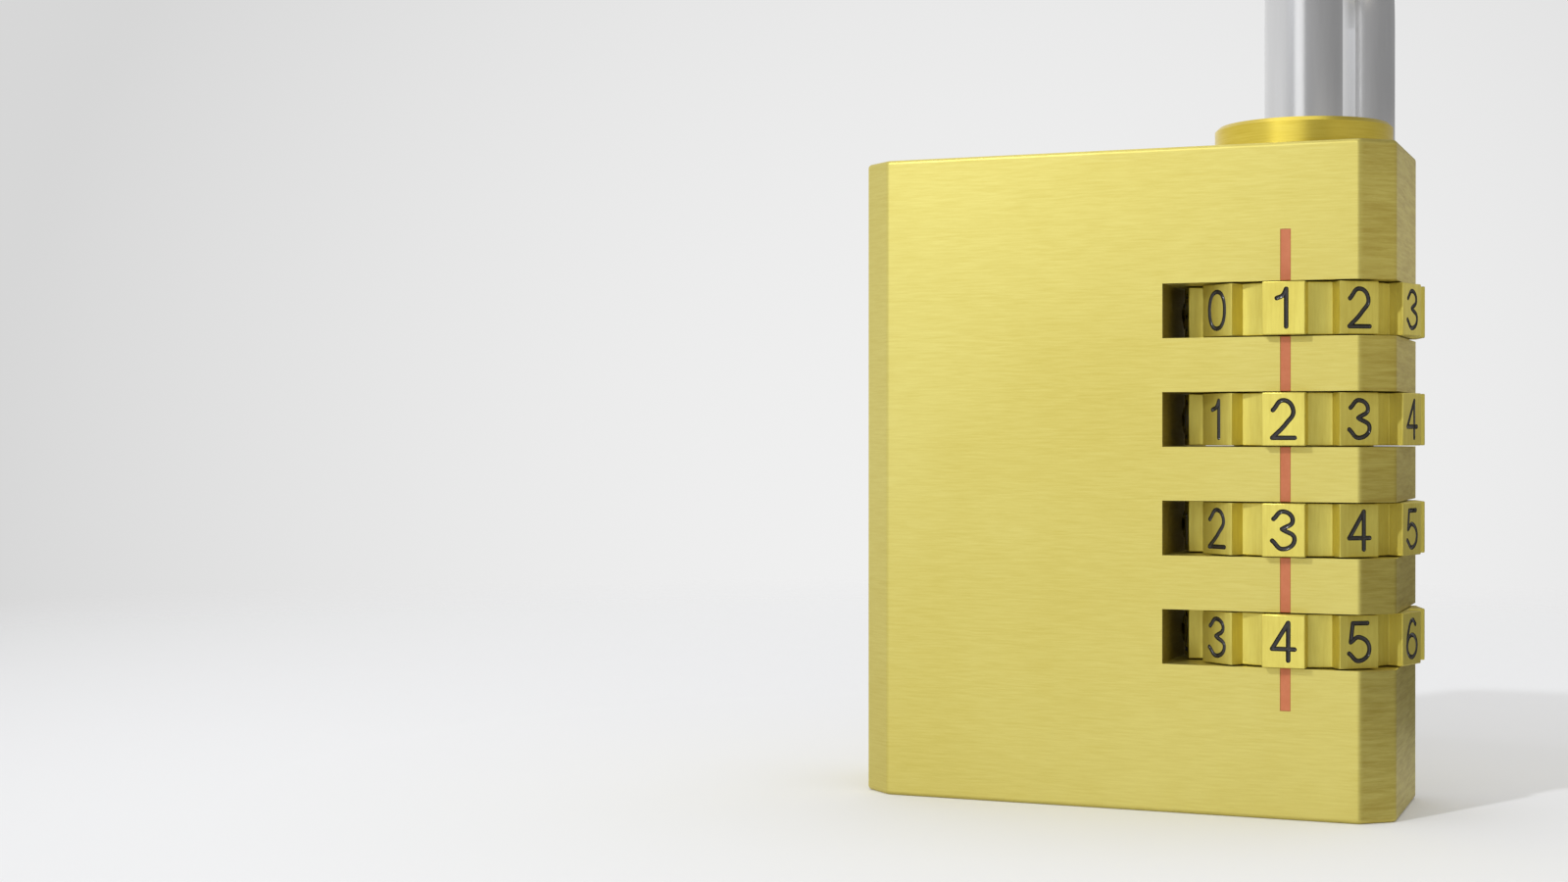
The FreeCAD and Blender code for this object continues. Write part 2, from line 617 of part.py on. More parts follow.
# click_ball and click_spring: each dial's detent, in a hole drilled into the slot's end wall.
def build_click(index):
    ball = doc.addObject("Part::Sphere", f"click_ball_{index + 1}")
    ball.Label = f"click_ball_{index + 1}"
    bind(ball, Radius="sizes.ball_diameter / 2")
    place(ball, BALL_CENTRE, "0", dial_level(index))
    made.append(ball)
    low = f"({BALL_HOLE_END} + sizes.click_wire / 2 + sizes.spring_gap)"
    touch = "(sizes.ball_diameter / 2 + sizes.click_wire / 2 + sizes.spring_gap)"
    high = f"({BALL_CENTRE} - sqrt({touch} ^ 2 - sizes.click_coil ^ 2))"
    coil(
        f"click_spring_{index + 1}",
        low,
        high,
        "sizes.click_coil",
        "sizes.click_wire",
        "sizes.click_turns",
        z=dial_level(index),
        along_x=True,
    )


# spring_cap: steel thrust cap between the turning heel leg and its spring.
def build_spring_cap():
    cap_low = f"({HEEL_END} - sizes.cap_thickness)"
    nose = f"({cap_low} - sizes.cap_nose_height)"
    nose_radius = "sizes.lift_coil - sizes.lift_wire / 2 - sizes.cap_nose_gap"
    cap = turned_piece(
        "spring_cap",
        [
            ("0", nose),
            (nose_radius, nose),
            (nose_radius, cap_low),
            ("sizes.cap_radius", cap_low),
            ("sizes.cap_radius", HEEL_END),
            ("0", HEEL_END),
        ],
    )
    place(cap, HEEL)
    return cap


# lift_spring: a few wide turns of fine wire, so that it closes up flat under the pressed shackle.
def build_lift_spring():
    margin = "(sizes.lift_wire / 2 + sizes.spring_gap)"
    return coil(
        "lift_spring",
        f"(sizes.bore_floor + {margin})",
        f"({HEEL_END} - sizes.cap_thickness - {margin})",
        "sizes.lift_coil",
        "sizes.lift_wire",
        "sizes.lift_turns",
        x=HEEL,
    )


# reset_washer and reset_spring: they hold the stack of sleeves up in the dials.
def build_reset():
    low = f"({SLEEVE_FOOT} - sizes.washer_thickness)"
    washer = turned_piece(
        "reset_washer",
        [(CHAMBER, low), (HUB, low), (HUB, SLEEVE_FOOT), (CHAMBER, SLEEVE_FOOT)],
    )
    place(washer, HEEL)
    margin = "(sizes.reset_wire / 2 + sizes.spring_gap)"
    coil(
        "reset_spring",
        f"(sizes.bore_floor + {margin})",
        f"({low} - {margin})",
        "sizes.reset_coil",
        "sizes.reset_wire",
        "sizes.reset_turns",
        x=HEEL,
    )


build_lock_body()
build_collar()
build_collar_pin()
build_shackle()
build_push_ring()
for dial in range(DIALS):
    build_lug_pin(dial)
    build_dial(dial)
    build_sleeve(dial)
    build_click(dial)
build_spring_cap()
build_lift_spring()
build_reset()
doc.recompute()

for item in doc.Objects:
    if {"Invalid", "Error"} & set(item.State):
        raise RuntimeError(f"{item.Name} failed: {item.State}")
os.makedirs("parts", exist_ok=True)
for item in made:
    if item.Shape.isNull() or not item.Shape.isValid() or not item.Shape.Solids:
        raise RuntimeError(f"{item.Label} has no valid solid")
for item in made:
    item.Shape.exportStep(f"parts/{item.Label}.step")
    print(f"{item.Label}: {item.Shape.Volume:.2f} mm3, {len(item.Shape.Solids)} solid")
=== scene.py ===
import math

import bmesh
import bpy
from mathutils import Matrix, Vector


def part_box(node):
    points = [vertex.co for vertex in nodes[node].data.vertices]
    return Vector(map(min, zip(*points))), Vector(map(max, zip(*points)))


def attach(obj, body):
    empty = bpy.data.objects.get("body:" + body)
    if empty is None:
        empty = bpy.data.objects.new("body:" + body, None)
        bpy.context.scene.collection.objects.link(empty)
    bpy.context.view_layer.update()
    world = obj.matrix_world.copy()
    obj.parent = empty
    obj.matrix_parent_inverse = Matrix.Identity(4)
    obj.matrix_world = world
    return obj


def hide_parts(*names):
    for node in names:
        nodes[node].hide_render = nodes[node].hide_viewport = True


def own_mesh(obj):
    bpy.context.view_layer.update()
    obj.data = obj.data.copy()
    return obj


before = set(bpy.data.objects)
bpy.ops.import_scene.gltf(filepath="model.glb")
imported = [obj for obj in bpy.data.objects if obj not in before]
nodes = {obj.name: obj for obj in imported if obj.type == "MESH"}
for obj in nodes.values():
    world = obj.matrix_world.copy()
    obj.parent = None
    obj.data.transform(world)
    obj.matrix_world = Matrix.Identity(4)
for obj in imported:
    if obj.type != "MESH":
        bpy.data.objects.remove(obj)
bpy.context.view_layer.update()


# The lock body is one sawn and milled bar of solid brass with chamfered upright corners. Its faces are
# brushed lengthwise with a fine belt, so the marks run level round all four sides and along the top.
MM = 0.001

BODY_BRASS_PALE = (0.675, 0.600, 0.190)
BODY_BRASS_DEEP = (0.575, 0.480, 0.115)
# The worn colour is partly painted shade: it darkens the coarse marks on the dial end, away from the
# light.
BODY_BRASS_WORN_AND_SHADED = (0.440, 0.330, 0.065)
STREAK_SHARE = 0.55
MARK_RANGE = (0.3, 0.7)
MARK_DEPTH = 0.02 * MM
LEVEL_TURN = 0.25
END_FROM = 17.6 * MM
END_FADE = 0.4 * MM
END_FINENESS = (230.0, 230.0, 2600.0)
END_PATCH_FINENESS = 160.0
END_MARKS = (0.34, 0.60)
END_WEAR_AND_SHADE = 0.65


def node(tree, kind, **settings):
    """A shader node with its settings and its inputs' values."""
    made = tree.nodes.new(kind)
    for name, value in settings.items():
        if hasattr(made, name):
            setattr(made, name, value)
        else:
            made.inputs[name.replace("_", " ")].default_value = value
    return made


def group(name, inputs, outputs):
    """An empty shader node group with named sockets, as (group, its input node, its output node)."""
    tree = bpy.data.node_groups.new(name, "ShaderNodeTree")
    for label, kind, value in inputs:
        socket = tree.interface.new_socket(label, in_out="INPUT", socket_type=f"NodeSocket{kind}")
        socket.default_value = value
    for label, kind in outputs:
        tree.interface.new_socket(label, in_out="OUTPUT", socket_type=f"NodeSocket{kind}")
    return tree, tree.nodes.new("NodeGroupInput"), tree.nodes.new("NodeGroupOutput")


def brush_marks():
    """Long fine scratches and wider cloudy patches. Fineness is how often they change along each axis."""
    tree, given, result = group(
        "brush_marks",
        [("Fineness", "Vector", (60.0, 60.0, 6000.0)), ("Patch Fineness", "Float", 60.0)],
        [("Streaks", "Float"), ("Patches", "Float")],
    )
    place = node(tree, "ShaderNodeTexCoord")
    stretch = node(tree, "ShaderNodeVectorMath", operation="MULTIPLY")
    tree.links.new(place.outputs["Object"], stretch.inputs[0])
    tree.links.new(given.outputs["Fineness"], stretch.inputs[1])
    streaks = node(tree, "ShaderNodeTexNoise", Scale=1.0, Detail=4.0, Roughness=0.7)
    tree.links.new(stretch.outputs[0], streaks.inputs["Vector"])
    tree.links.new(streaks.outputs["Fac"], result.inputs["Streaks"])
    patches = node(tree, "ShaderNodeTexNoise", Detail=3.0, Roughness=0.55)
    tree.links.new(place.outputs["Object"], patches.inputs["Vector"])
    tree.links.new(given.outputs["Patch Fineness"], patches.inputs["Scale"])
    tree.links.new(patches.outputs["Fac"], result.inputs["Patches"])
    return tree


BRUSH_MARKS = brush_marks()


def placed_marks(tree, fineness, patch_fineness):
    """The brush marks' group in a material, with its own values."""
    marks = node(tree, "ShaderNodeGroup", node_tree=BRUSH_MARKS)
    marks.inputs["Fineness"].default_value = fineness
    marks.inputs["Patch Fineness"].default_value = patch_fineness
    return marks.outputs


def spread(tree, value, low, high, to_low, to_high):
    """Maps a value between two ends onto two others, and returns the socket."""
    ranged = node(tree, "ShaderNodeMapRange")
    for label, number in (("From Min", low), ("From Max", high), ("To Min", to_low), ("To Max", to_high)):
        ranged.inputs[label].default_value = number
    tree.links.new(value, ranged.inputs["Value"])
    return ranged.outputs["Result"]


def blend_colours(tree, factor, first, second):
    """A mix of two colours by a factor socket. Either colour may be a socket."""
    mix = node(tree, "ShaderNodeMix", data_type="RGBA")
    tree.links.new(factor, mix.inputs[0])
    for colour, socket in ((first, mix.inputs[6]), (second, mix.inputs[7])):
        if isinstance(colour, tuple):
            socket.default_value = (*colour, 1.0)
        else:
            tree.links.new(colour, socket)
    return mix.outputs[2]


def object_axes(tree):
    """Object coordinates, one socket for each axis."""
    place = node(tree, "ShaderNodeTexCoord")
    parts = node(tree, "ShaderNodeSeparateXYZ")
    tree.links.new(place.outputs["Object"], parts.inputs[0])
    return parts.outputs


def metal(name, deep, pale, fineness, patch_fineness, roughness, bump, metallic=1.0, level_marks=0.0):
    """A brushed or turned metal. Its colour and gloss follow the marks, and a bump raises them. Marks that
    run level round the lock's upright axis spread its highlights up and down."""
    material = bpy.data.materials.new(name)
    material.use_nodes = True
    tree = material.node_tree
    shader = tree.nodes["Principled BSDF"]
    shader.inputs["Metallic"].default_value = metallic
    if level_marks:
        shader.inputs["Anisotropic"].default_value = level_marks
        shader.inputs["Anisotropic Rotation"].default_value = LEVEL_TURN
        level = node(tree, "ShaderNodeTangent", direction_type="RADIAL", axis="Z")
        tree.links.new(level.outputs["Tangent"], shader.inputs["Tangent"])
    marks = placed_marks(tree, fineness, patch_fineness)
    streaks = spread(tree, marks["Streaks"], *MARK_RANGE, 0.0, 1.0)
    patches = spread(tree, marks["Patches"], *MARK_RANGE, 0.0, 1.0)
    both = node(tree, "ShaderNodeMath", operation="MULTIPLY_ADD")
    tree.links.new(streaks, both.inputs[0])
    both.inputs[1].default_value = STREAK_SHARE
    share = node(tree, "ShaderNodeMath", operation="MULTIPLY")
    tree.links.new(patches, share.inputs[0])
    share.inputs[1].default_value = 1 - STREAK_SHARE
    tree.links.new(share.outputs[0], both.inputs[2])
    tree.links.new(blend_colours(tree, both.outputs[0], deep, pale), shader.inputs["Base Color"])
    tree.links.new(spread(tree, both.outputs[0], 0.0, 1.0, *roughness), shader.inputs["Roughness"])
    raised = node(tree, "ShaderNodeBump", Strength=bump, Distance=MARK_DEPTH)
    tree.links.new(streaks, raised.inputs["Height"])
    tree.links.new(raised.outputs["Normal"], shader.inputs["Normal"])
    return material


def finish_with(material, *names):
    """Gives CAD nodes a material."""
    for name in names:
        mesh = nodes[name].data
        mesh.materials.clear()
        mesh.materials.append(material)


body_brass = metal(
    "body_brass",
    BODY_BRASS_DEEP,
    BODY_BRASS_PALE,
    fineness=(480.0, 480.0, 7000.0),
    patch_fineness=45.0,
    roughness=(0.52, 0.46),
    bump=0.06,
    level_marks=0.35,
)
finish_with(body_brass, "lock_body")

# The dial end and its chamfers carry coarser, wider brush marks. Their darker streaks are partly painted
# shade, darkening the end that faces away from the light.
tree = body_brass.node_tree
shader = tree.nodes["Principled BSDF"]
plain = shader.inputs["Base Color"].links[0].from_socket
coarse = placed_marks(tree, END_FINENESS, END_PATCH_FINENESS)
near_end = spread(tree, object_axes(tree)["X"], END_FROM, END_FROM + END_FADE, 0.0, 1.0)
# Painted shade in part: the coarse marks darken the dial end towards the worn colour.
worn_and_shaded = node(tree, "ShaderNodeMath", operation="MULTIPLY")
tree.links.new(spread(tree, coarse["Streaks"], *END_MARKS, END_WEAR_AND_SHADE, 0.0), worn_and_shaded.inputs[0])
tree.links.new(near_end, worn_and_shaded.inputs[1])
tree.links.new(blend_colours(tree, worn_and_shaded.outputs[0], plain, BODY_BRASS_WORN_AND_SHADED), shader.inputs["Base Color"])


# Each dial clicks on a polished steel ball. A small spring pushes the ball out of its hole in the slot's
# end wall.
DIALS = 4


def each(name):
    """The names of the pieces that every dial has one of."""
    return [f"{name}_{i}" for i in range(1, DIALS + 1)]


ball_steel = metal(
    "ball_steel",
    (0.55, 0.55, 0.57),
    (0.72, 0.72, 0.74),
    fineness=(900.0, 900.0, 900.0),
    patch_fineness=400.0,
    roughness=(0.16, 0.08),
    bump=0.05,
)
spring_steel = metal(
    "spring_steel",
    (0.30, 0.30, 0.31),
    (0.52, 0.52, 0.53),
    fineness=(3000.0, 3000.0, 3000.0),
    patch_fineness=500.0,
    roughness=(0.40, 0.25),
    bump=0.2,
)
finish_with(ball_steel, *each("click_ball"))
finish_with(spring_steel, *each("click_spring"))


# Two springs of drawn wire stand on the bore's floor. The wide one presses the code sleeves up into the
# dials by a ground steel washer, and the narrow one inside it lifts the shackle by a thrust cap.
COIL_STEPS = 28
WIRE_SIDES = 14
RESET_WIRE = 0.70 * MM
RESET_COIL = 4.6 * MM
RESET_TURNS = 3.0
LIFT_WIRE = 0.45 * MM
LIFT_COIL = 2.2 * MM
LIFT_TURNS = 3.5


def mesh_object(name, mesh):
    """An object that holds a mesh, in the scene."""
    made = bpy.data.objects.new(name, mesh)
    bpy.context.scene.collection.objects.link(made)
    return made


def bmesh_object(name, shape):
    """An object from a bmesh."""
    mesh = bpy.data.meshes.new(name)
    shape.to_mesh(mesh)
    shape.free()
    return mesh_object(name, mesh)


def coil_spring(name, wire, coil, turns):
    """A wound spring in a CAD spring's place, as tall as the CAD spring."""
    low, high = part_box(name)
    foot = Vector(((low.x + high.x) / 2, (low.y + high.y) / 2, low.z + wire / 2))
    rise = high.z - low.z - wire
    steps = round(turns * COIL_STEPS)
    shape = bmesh.new()
    start = Matrix.Translation(foot + Vector((coil, 0, 0))) @ Matrix.Rotation(math.pi / 2, 4, "X")
    bmesh.ops.create_circle(shape, segments=WIRE_SIDES, radius=wire / 2, matrix=start)
    bmesh.ops.spin(
        shape,
        geom=shape.verts[:] + shape.edges[:],
        cent=foot,
        axis=(0, 0, 1),
        dvec=(0, 0, rise / steps),
        angle=turns * 2 * math.pi,
        steps=steps,
    )
    bmesh.ops.holes_fill(shape, edges=shape.edges)
    bmesh.ops.recalc_face_normals(shape, faces=shape.faces)
    for face in shape.faces:
        face.smooth = len(face.verts) == 4
    spring = bmesh_object(f"wound_{name}", shape)
    spring.data.materials.append(spring_steel)
    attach(spring, "block")
    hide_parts(name)
    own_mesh(spring)


coil_spring("reset_spring", RESET_WIRE, RESET_COIL, RESET_TURNS)
coil_spring("lift_spring", LIFT_WIRE, LIFT_COIL, LIFT_TURNS)
pin_steel = metal(
    "pin_steel",
    (0.36, 0.36, 0.37),
    (0.58, 0.58, 0.60),
    fineness=(2500.0, 2500.0, 8000.0),
    patch_fineness=300.0,
    roughness=(0.38, 0.25),
    bump=0.15,
)
finish_with(pin_steel, "reset_washer", "spring_cap")


# The code sleeves are turned brass and sit inside the dials. Each has two drive teeth that key it to its
# dial, and a web that holds the shackle's lug pins back.
sleeve_brass = metal(
    "sleeve_brass",
    (0.50, 0.36, 0.09),
    (0.72, 0.58, 0.20),
    fineness=(400.0, 400.0, 9000.0),
    patch_fineness=150.0,
    roughness=(0.34, 0.22),
    bump=0.2,
)
finish_with(sleeve_brass, *each("sleeve"))


# The dials are ten-sided brass rings, milled along their axis. Every number facet has its digit cut with a
# round-nosed cutter and filled with black paint. A shallow grip groove parts each facet from the next.
DIAL_FLAT = 8.63 * MM
FACET_HALF = 1.525 * MM
GRIP_FLOOR = 7.64 * MM
GRIP_HALF = 0.87 * MM
DIAL_THICKNESS = 3.8 * MM
DIAL_BORE = 5.9 * MM
DIAL_EDGE = 0.07 * MM
NUMBERS = 10
STEP = 2 * math.pi / NUMBERS
DIGIT_HIGH = 2.68 * MM
DIGIT_WIDE = 1.58 * MM
STROKE = 0.17 * MM
STROKE_OUT = 0.01 * MM
STROKE_WELD = 0.002 * MM
CORNER_WELD = 0.01 * MM
BRASS_EDGE = math.radians(20)
PAINT_EDGE = math.radians(40)

# A stroke's round end is turned, so that none of its corners falls on one of the stroke's.
END_TURN = Matrix.Rotation(0.4, 4, (0.3, 0.5, 0.8))

# Each digit's strokes on a unit square, as (closed, points). A corner is where two strokes meet.
DIGITS = {
    0: [(True, [(0.5, 1), (0, 0.5), (0.5, 0), (1, 0.5)])],
    1: [(False, [(0.20, 0.76), (0.46, 0.83), (0.62, 1)]), (False, [(0.62, 1), (0.62, 0)])],
    2: [(False, [(0.03, 0.74), (0.5, 1), (0.94, 0.72), (0.62, 0.38), (0, 0)]), (False, [(0, 0), (1, 0)])],
    3: [
        (False, [(0.06, 0.80), (0.48, 1), (0.92, 0.76), (0.44, 0.53)]),
        (False, [(0.44, 0.53), (1, 0.27), (0.48, 0), (0, 0.22)]),
    ],
    4: [(False, [(1, 0.30), (0, 0.30)]), (False, [(0, 0.30), (0.72, 1)]), (False, [(0.72, 1), (0.72, 0)])],
    5: [
        (False, [(0.9, 1), (0.18, 1)]),
        (False, [(0.18, 1), (0.08, 0.50)]),
        (False, [(0.08, 0.50), (0.5, 0.63), (1, 0.31), (0.5, 0), (0, 0.2)]),
    ],
    6: [
        (False, [(0.86, 0.88), (0.54, 1), (0.10, 0.66), (0, 0.30)]),
        (True, [(0.5, 0.60), (0, 0.30), (0.5, 0), (1, 0.30)]),
    ],
    7: [(False, [(0, 1), (1, 1)]), (False, [(1, 1), (0.34, 0)])],
    8: [
        (True, [(0.5, 1), (0.08, 0.77), (0.5, 0.54), (0.92, 0.77)]),
        (True, [(0.5, 0.54), (0, 0.27), (0.5, 0), (1, 0.27)]),
    ],
    9: [
        (False, [(0.14, 0.12), (0.46, 0), (0.90, 0.34), (1, 0.70)]),
        (True, [(0.5, 0.40), (1, 0.70), (0.5, 1), (0, 0.70)]),
    ],
}


def settled(thing):
    """A new mesh with a thing's modifiers, or its curve's bevel, carried out."""
    return bpy.data.meshes.new_from_object(thing.evaluated_get(bpy.context.evaluated_depsgraph_get()))


def soften(mesh):
    """Smooth shading, broken at the brass's edges but not inside a painted groove."""
    shape = bmesh.new()
    shape.from_mesh(mesh)
    for face in shape.faces:
        face.smooth = True
    for edge in shape.edges:
        painted = all(face.material_index == 1 for face in edge.link_faces)
        edge.smooth = edge.calc_face_angle(math.pi) < (PAINT_EDGE if painted else BRASS_EDGE)
    shape.to_mesh(mesh)
    shape.free()


def digit_cutter(digit):
    """The cutter's path for one digit on the facet at -Y, as closed strokes with round ends."""
    curve = bpy.data.curves.new(f"digit_{digit}", "CURVE")
    curve.dimensions = "3D"
    curve.bevel_depth = STROKE
    curve.bevel_resolution = 5
    curve.resolution_u = 10
    curve.use_fill_caps = True
    ends = set()
    for closed, points in DIGITS[digit]:
        spline = curve.splines.new("BEZIER")
        spline.bezier_points.add(len(points) - 1)
        spline.use_cyclic_u = closed
        for knot, (across, up) in zip(spline.bezier_points, points):
            knot.co = ((across - 0.5) * DIGIT_WIDE, -DIAL_FLAT - STROKE_OUT, (up - 0.5) * DIGIT_HIGH)
            knot.handle_left_type = "AUTO"
            knot.handle_right_type = "AUTO"
        if not closed:
            ends |= {tuple(spline.bezier_points[0].co), tuple(spline.bezier_points[-1].co)}
    path = bpy.data.objects.new(f"digit_{digit}", curve)
    bpy.context.scene.collection.objects.link(path)
    bpy.context.view_layer.update()
    shape = bmesh.new()
    shape.from_mesh(settled(path))
    bpy.data.objects.remove(path)
    bmesh.ops.remove_doubles(shape, verts=shape.verts, dist=STROKE_WELD)
    for end in sorted(ends):
        place = Matrix.Translation(end) @ END_TURN
        bmesh.ops.create_icosphere(shape, subdivisions=3, radius=STROKE, matrix=place)
    return shape


def digit_cutters():
    """The cutters for all ten digits, with digit n on the facet n steps round from -Y."""
    cutters = bmesh.new()
    for digit in DIGITS:
        cutter = digit_cutter(digit)
        turn = Matrix.Rotation(digit * STEP, 3, "Z")
        bmesh.ops.rotate(cutter, verts=cutter.verts, cent=(0, 0, 0), matrix=turn)
        bmesh.ops.recalc_face_normals(cutter, faces=cutter.faces)
        for face in cutter.faces:
            face.material_index = 1
        part = bpy.data.meshes.new("digit")
        cutter.to_mesh(part)
        cutter.free()
        cutters.from_mesh(part)
    return bmesh_object("digits", cutters)


def plain_ring():
    """A dial without its digits, round the origin."""
    shape = bmesh.new()
    corners = []
    for across, reach, turn in (
        (-FACET_HALF, DIAL_FLAT, 0.0),
        (FACET_HALF, DIAL_FLAT, 0.0),
        (-GRIP_HALF, GRIP_FLOOR, STEP / 2),
        (GRIP_HALF, GRIP_FLOOR, STEP / 2),
    ):
        spot = Matrix.Rotation(turn, 3, "Z") @ Vector((across, -reach, -DIAL_THICKNESS / 2))
        corners.append(shape.verts.new(spot))
    edges = [shape.edges.new(pair) for pair in zip(corners, corners[1:])]
    bmesh.ops.spin(
        shape,
        geom=corners + edges,
        cent=(0, 0, 0),
        axis=(0, 0, 1),
        angle=2 * math.pi,
        steps=NUMBERS,
        use_duplicate=True,
    )
    bmesh.ops.remove_doubles(shape, verts=shape.verts, dist=CORNER_WELD)
    shape.verts.ensure_lookup_table()
    # The wall from each groove to the next facet is still open.
    loose = [v for v in shape.verts if len(v.link_edges) == 1]
    while loose:
        here = loose.pop()
        other = min(loose, key=lambda v: (v.co - here.co).length)
        loose.remove(other)
        shape.edges.new((here, other))
    base = Matrix.Translation((0, 0, -DIAL_THICKNESS / 2))
    bmesh.ops.create_circle(shape, segments=4 * NUMBERS, radius=DIAL_BORE, matrix=base)
    bmesh.ops.bridge_loops(shape, edges=shape.edges[:])
    bmesh.ops.recalc_face_normals(shape, faces=shape.faces)
    raised = bmesh.ops.extrude_face_region(shape, geom=list(shape.faces))
    tops = [g for g in raised["geom"] if isinstance(g, bmesh.types.BMVert)]
    bmesh.ops.translate(shape, vec=(0, 0, DIAL_THICKNESS), verts=tops)
    bmesh.ops.recalc_face_normals(shape, faces=shape.faces)
    sharp = [e for e in shape.edges if len(e.link_faces) == 2 and e.calc_face_angle() > BRASS_EDGE]
    bmesh.ops.bevel(
        shape, geom=sharp, offset=DIAL_EDGE, affect="EDGES", segments=2, profile=0.5, material=-1
    )
    return bmesh_object("ring", shape)


def numbered_ring():
    """A dial round the origin, with its digits cut and painted."""
    ring = plain_ring()
    tool = digit_cutters()
    for thing in (ring, tool):
        thing.data.materials.append(dial_brass)
        thing.data.materials.append(digit_paint)
    cut = ring.modifiers.new("engraving", "BOOLEAN")
    cut.operation = "DIFFERENCE"
    cut.solver = "EXACT"
    cut.use_self = True
    cut.object = tool
    bpy.context.view_layer.update()
    mesh = settled(ring)
    bpy.data.objects.remove(ring)
    bpy.data.objects.remove(tool)
    return mesh


dial_brass = metal(
    "dial_brass",
    (0.61, 0.505, 0.095),
    (0.765, 0.675, 0.155),
    fineness=(3500.0, 3500.0, 300.0),
    patch_fineness=250.0,
    roughness=(0.48, 0.38),
    bump=0.05,
    metallic=0.80,
    level_marks=0.5,
)
digit_paint = metal(
    "digit_paint",
    (0.012, 0.011, 0.010),
    (0.040, 0.037, 0.033),
    fineness=(3000.0, 3000.0, 3000.0),
    patch_fineness=700.0,
    roughness=(0.24, 0.14),
    bump=0.10,
    metallic=0.0,
)
ring_mesh = numbered_ring()
for digit, name in enumerate(each("dial"), start=1):
    low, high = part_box(name)
    mesh = ring_mesh.copy()
    mesh.transform(Matrix.Translation((low + high) / 2) @ Matrix.Rotation(-digit * STEP, 4, "Z"))
    soften(mesh)
    dial = mesh_object(f"numbered_{name}", mesh)
    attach(dial, name)
    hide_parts(name)


# The shackle is a hard steel bar, bent and polished to a satin. Its heel leg carries the lug pins and a
# snap ring, and turns in the collar. The toe leg is chamfered to find its hole.
shackle_steel = metal(
    "shackle_steel",
    (0.57, 0.57, 0.575),
    (0.66, 0.66, 0.665),
    fineness=(900.0, 900.0, 90.0),
    patch_fineness=60.0,
    roughness=(0.27, 0.21),
    bump=0.05,
)
finish_with(shackle_steel, "shackle")
finish_with(pin_steel, *each("lug_pin"))
finish_with(spring_steel, "push_ring")


# The collar is a turned brass ring with a flange, pressed into the bore's mouth round the heel leg. A
# brass dowel driven in from the back holds it.
collar_brass = metal(
    "collar_brass",
    (0.60, 0.45, 0.05),
    (0.78, 0.64, 0.12),
    fineness=(300.0, 300.0, 9000.0),
    patch_fineness=90.0,
    roughness=(0.38, 0.28),
    bump=0.06,
    level_marks=0.4,
)
finish_with(collar_brass, "collar")
finish_with(sleeve_brass, "collar_pin")


# The index line is red enamel, wiped into the shallow groove that is milled down the number face. The
# dial slots cut it into five lengths.
INDEX_HALF = 0.375 * MM
INDEX_TOP = 42.35 * MM
INDEX_FOOT = 7.8 * MM
INDEX_BED = 0.12 * MM
INDEX_FILL = 0.10 * MM
INDEX_EDGE = 0.04 * MM
SLOT_HALF = 2.0 * MM

fill_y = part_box("lock_body")[0].y + INDEX_BED - INDEX_FILL / 2
axis_x = sum(v.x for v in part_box("dial_1")) / 2
levels = [sum(v.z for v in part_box(name)) / 2 for name in each("dial")]
red_enamel = metal(
    "red_enamel",
    (0.50, 0.125, 0.040),
    (0.61, 0.19, 0.078),
    fineness=(900.0, 900.0, 900.0),
    patch_fineness=300.0,
    roughness=(0.50, 0.38),
    bump=0.1,
    metallic=0.0,
)
slots = [z for level in levels for z in (level + SLOT_HALF, level - SLOT_HALF)]
ends = [INDEX_TOP, *slots, INDEX_FOOT]
shape = bmesh.new()
for top, foot in zip(ends[0::2], ends[1::2]):
    bar = bmesh.ops.create_cube(shape, size=1.0)["verts"]
    bmesh.ops.scale(shape, vec=(2 * INDEX_HALF, INDEX_FILL, top - foot), verts=bar)
    bmesh.ops.translate(shape, vec=(axis_x, fill_y, (top + foot) / 2), verts=bar)
front = [e for e in shape.edges if all(v.co.y < fill_y for v in e.verts)]
bmesh.ops.bevel(shape, geom=front, offset=INDEX_EDGE, affect="EDGES", segments=2, profile=0.5, material=-1)
index_line = bmesh_object("index_line", shape)
index_line.data.materials.append(red_enamel)
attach(index_line, "block")


# The studio is a pale sheet that fades into a pale backdrop. A key light stands on the left and above, a
# soft fill in front and a wide light overhead. A curved grey card on the right gives the metal its shaded
# sides.
BRIGHTEST_WAY = (-0.27, 0.95, -0.05)
BACKDROP_STOPS = ((0.0, 0.70), (0.90, 0.68), (1.0, 0.875))
ROOM_WAY = (-0.90, 0.40, 0.15)
ROOM_STOPS = ((-1.0, 0.50), (0.0, 0.50), (0.45, 0.92), (1.0, 1.0))
AMBIENT = 0.66
PAPER = (0.90, 0.90, 0.905)
PAPER_ROUGHNESS = 0.9
PAPER_RADIUS = 0.6
PAPER_SIDES = 64
PAPER_FADE = (0.07, 0.26)
CARD_MIDDLE = Vector((12.5 * MM, 0.0, 0.0))
CARD_RADIUS = 0.042
CARD_HEIGHT = 0.20
CARD_START = math.radians(-50)
CARD_TURN = math.radians(150)
CARD_STEPS = 36
CARD_DEEP = (-0.032, 0.015)
CARD_SHARE = (1.30, 1.0)
CARD_STOPS = (
    (0.0, (0.06, 0.06, 0.05)),
    (0.012, (0.16, 0.15, 0.12)),
    (0.028, (0.38, 0.36, 0.29)),
    (0.044, (0.70, 0.67, 0.58)),
    (0.050, (0.60, 0.58, 0.55)),
    (0.058, (0.36, 0.36, 0.36)),
)
AIM = Vector((0, 0, 0.03))
KEY_WAY = (-0.41, -0.84, 0.56)
KEY_COLOUR = (0.97, 1.0, 1.06)
FILL_WAY = (-0.03, -1.0, 0.15)
OVERHEAD_WAY = (0.0, 0.1, 1.0)


